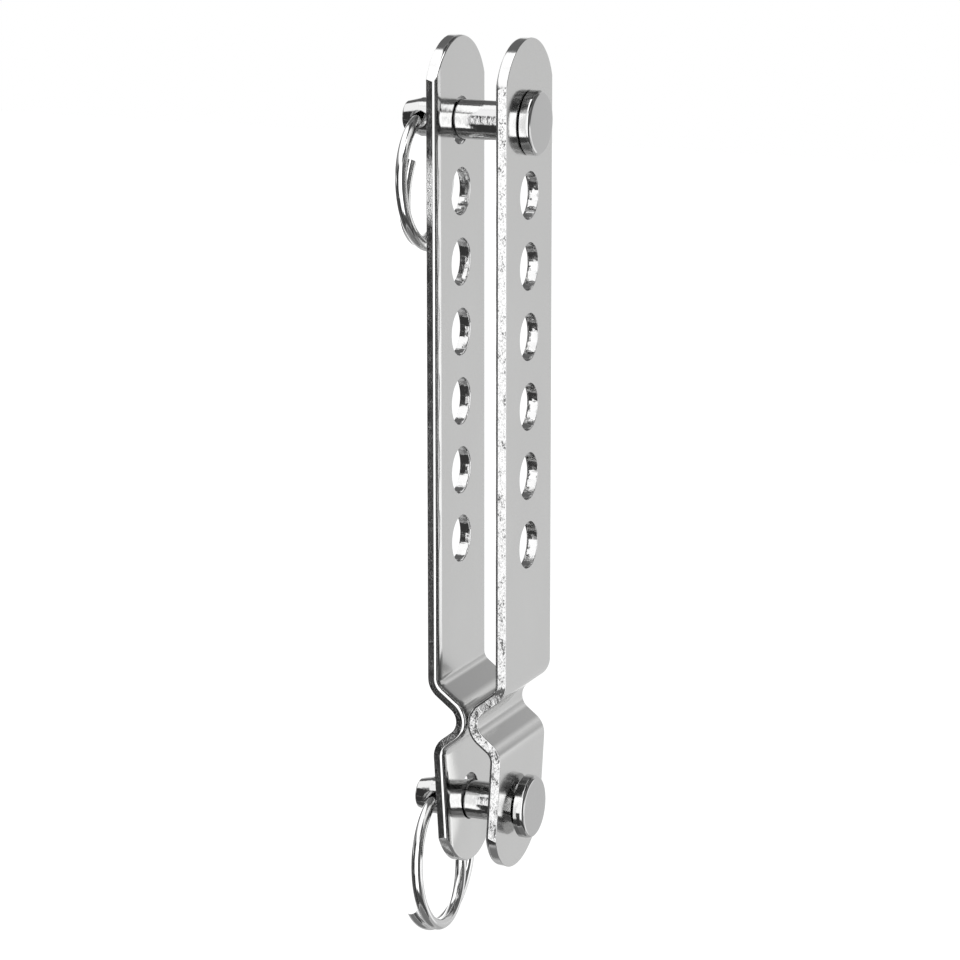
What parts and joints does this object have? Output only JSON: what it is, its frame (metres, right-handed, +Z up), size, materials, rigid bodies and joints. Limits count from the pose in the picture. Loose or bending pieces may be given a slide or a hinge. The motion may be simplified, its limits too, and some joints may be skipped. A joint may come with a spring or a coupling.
{
  "type": "chainplate",
  "caption": "Adjustable rigging chainplate: two bent steel strips with a row of holes, a clevis pin at each end and a split ring through each pin.",
  "frame": {"origin": "on the lower clevis pin's axis, midway between the two plates", "axes": "+X across the plates towards the pin heads, +Y across the width of the strips, +Z up along the strips towards the fork"},
  "size_m": [0.0182, 0.0196, 0.1183],
  "materials": {
    "plate_steel": "polished, with sheared edges",
    "pin_steel": "turned",
    "ring_wire": "bright drawn wire"
  },
  "bodies": {
    "plates": {"left_plate": "plate_steel", "right_plate": "plate_steel"},
    "upper_pin": {"upper_clevis_pin": "pin_steel"},
    "lower_pin": {"lower_clevis_pin": "pin_steel"},
    "upper_ring": {"upper_split_ring": "ring_wire"},
    "lower_ring": {"lower_split_ring": "ring_wire"}
  },
  "joints": [
    {"name": "upper_pin_turn", "type": "hinge", "parent": "plates", "child": "upper_pin", "pos_m": [0, 0, 0.08905], "axis": [1, 0, 0], "continuous": true},
    {"name": "lower_pin_turn", "type": "hinge", "parent": "plates", "child": "lower_pin", "pos_m": [0, 0, 0], "axis": [1, 0, 0], "continuous": true},
    {"name": "upper_ring_swing", "type": "hinge", "parent": "upper_pin", "child": "upper_ring", "pos_m": [-0.0088, 0, 0.08905], "axis": [0, 1, 0], "range_deg": [-3, 185]},
    {"name": "lower_ring_swing", "type": "hinge", "parent": "lower_pin", "child": "lower_ring", "pos_m": [-0.0073, 0, 0], "axis": [0, 1, 0], "range_deg": [0, 180]}
  ]
}
